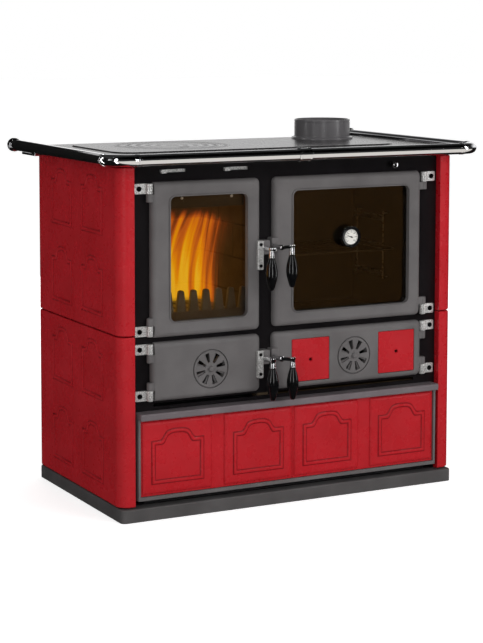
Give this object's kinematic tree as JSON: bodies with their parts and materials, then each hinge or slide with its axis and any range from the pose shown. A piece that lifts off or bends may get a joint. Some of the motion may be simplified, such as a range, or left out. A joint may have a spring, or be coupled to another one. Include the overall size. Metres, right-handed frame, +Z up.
{
  "type": "wood cookstove",
  "caption": "Free-standing wood-burning kitchen range with a firebox, an oven, an ash door, a log drawer, a cast cooktop with a lift-off hotplate, a flue collar and a hand rail.",
  "frame": {"origin": "on the floor, under the middle of the whole stove", "axes": "+X right along the front as one faces it, +Y to the back, +Z up"},
  "size_m": [1.045, 0.669, 0.922],
  "materials": {
    "glazed_red": "glossy glazed",
    "cast_grey": "fine matt painted casting",
    "black_steel": "satin heat-proof paint",
    "plinth_grey": "satin paint",
    "cooktop_iron": "ground, satin",
    "chrome": "polished",
    "door_glass": "clear ceramic glass",
    "firebrick": "rough refractory brick",
    "bare_steel": "plain sheet",
    "dark_enamel": "glossy oven enamel",
    "black_grip": "glossy heat-proof moulding",
    "dial": "printed dial in a dark case"
  },
  "bodies": {
    "root": {"plinth": "plinth_grey", "carcass": "black_steel", "floor_deck": "black_steel", "middle_deck": "black_steel", "front_frame": "black_steel", "firebox_lining": "firebrick", "fire_grate": "cast_grey", "log_guard": "cast_grey", "ash_pan": "bare_steel", "oven_box": "dark_enamel", "service_box": "dark_enamel", "oven_rack": "bare_steel", "side_panel_left_lower": "glazed_red", "side_panel_left_upper": "glazed_red", "side_panel_right_lower": "glazed_red", "side_panel_right_upper": "glazed_red", "cooktop_frame": "cooktop_iron", "cooking_plate": "cooktop_iron", "flue_collar": "black_steel", "handrail": "chrome", "rail_clamp": "chrome", "rail_bracket_left": "chrome", "rail_bracket_right": "chrome", "hinge_bracket_fire_top": "chrome", "hinge_bracket_fire_bottom": "chrome", "hinge_bracket_ash_top": "chrome", "hinge_bracket_ash_bottom": "chrome", "hinge_bracket_oven_top": "chrome", "hinge_bracket_oven_bottom": "chrome", "hinge_bracket_service_top": "chrome", "hinge_bracket_service_bottom": "chrome"},
    "fire_door": {"fire_door": "cast_grey", "fire_glass": "door_glass"},
    "oven_door": {"oven_door": "cast_grey", "oven_glass": "door_glass", "oven_thermometer": "dial"},
    "ash_door": {"ash_door": "cast_grey"},
    "service_door": {"service_door": "cast_grey", "service_tile_left": "glazed_red", "service_tile_right": "glazed_red"},
    "fire_latch": {"latch_lever_fire": "chrome", "grip_fire": "black_grip"},
    "oven_latch": {"latch_lever_oven": "chrome", "grip_oven": "black_grip"},
    "ash_latch": {"latch_lever_ash": "chrome", "grip_ash": "black_grip"},
    "service_latch": {"latch_lever_service": "chrome", "grip_service": "black_grip"},
    "ash_air": {"ash_air_disc": "cast_grey"},
    "service_air": {"service_air_disc": "cast_grey"},
    "left_air_lever": {"air_lever_left": "bare_steel"},
    "right_air_lever": {"air_lever_right": "bare_steel"},
    "damper": {"damper_knob": "chrome", "flue_damper": "bare_steel"},
    "wood_drawer": {"drawer_front": "cast_grey", "drawer_tile_left": "glazed_red", "drawer_tile_right": "glazed_red", "drawer_box": "bare_steel"},
    "hotplate_ring": {"hotplate_ring": "cooktop_iron"},
    "hotplate_lid": {"hotplate_lid": "cooktop_iron"}
  },
  "joints": [
    {"name": "fire_door_hinge", "type": "hinge", "parent": "root", "child": "fire_door", "pos_m": [-0.3835, -0.2468, 0.61], "axis": [0, 0, 1], "range_deg": [-110, 0]},
    {"name": "oven_door_hinge", "type": "hinge", "parent": "root", "child": "oven_door", "pos_m": [0.3835, -0.2468, 0.61], "axis": [0, 0, 1], "range_deg": [0, 110]},
    {"name": "ash_door_hinge", "type": "hinge", "parent": "root", "child": "ash_door", "pos_m": [-0.3835, -0.2468, 0.35], "axis": [0, 0, 1], "range_deg": [-110, 0]},
    {"name": "service_door_hinge", "type": "hinge", "parent": "root", "child": "service_door", "pos_m": [0.3835, -0.2468, 0.35], "axis": [0, 0, 1], "range_deg": [0, 110]},
    {"name": "fire_latch_turn", "type": "hinge", "parent": "fire_door", "child": "fire_latch", "pos_m": [-0.078, -0.27, 0.636], "axis": [0, 1, 0], "range_deg": [0, 60]},
    {"name": "oven_latch_turn", "type": "hinge", "parent": "oven_door", "child": "oven_latch", "pos_m": [-0.055, -0.27, 0.641], "axis": [0, 1, 0], "range_deg": [-60, 0]},
    {"name": "ash_latch_turn", "type": "hinge", "parent": "ash_door", "child": "ash_latch", "pos_m": [-0.078, -0.27, 0.366], "axis": [0, 1, 0], "range_deg": [0, 60]},
    {"name": "service_latch_turn", "type": "hinge", "parent": "service_door", "child": "service_latch", "pos_m": [-0.055, -0.27, 0.368], "axis": [0, 1, 0], "range_deg": [-60, 0]},
    {"name": "ash_air_turn", "type": "hinge", "parent": "ash_door", "child": "ash_air", "pos_m": [-0.2263, -0.256, 0.3515], "axis": [0, -1, 0], "range_deg": [-6.8, 15.6]},
    {"name": "service_air_turn", "type": "hinge", "parent": "service_door", "child": "service_air", "pos_m": [0.1749, -0.256, 0.3515], "axis": [0, -1, 0], "range_deg": [-6.8, 15.6]},
    {"name": "left_air_slide", "type": "slide", "parent": "root", "child": "left_air_lever", "axis": [1, 0, 0], "range_m": [0, 0.054]},
    {"name": "right_air_slide", "type": "slide", "parent": "root", "child": "right_air_lever", "axis": [1, 0, 0], "range_m": [0, 0.054]},
    {"name": "damper_pull", "type": "slide", "parent": "root", "child": "damper", "axis": [0, -1, 0], "range_m": [0, 0.06]},
    {"name": "wood_drawer_slide", "type": "slide", "parent": "root", "child": "wood_drawer", "axis": [0, -1, 0], "range_m": [0, 0.4]},
    {"name": "hotplate_ring_lift", "type": "slide", "parent": "root", "child": "hotplate_ring", "axis": [0, 0, 1], "range_m": [0, 0.06]},
    {"name": "hotplate_lid_lift", "type": "slide", "parent": "hotplate_ring", "child": "hotplate_lid", "axis": [0, 0, 1], "range_m": [0, 0.06]}
  ]
}
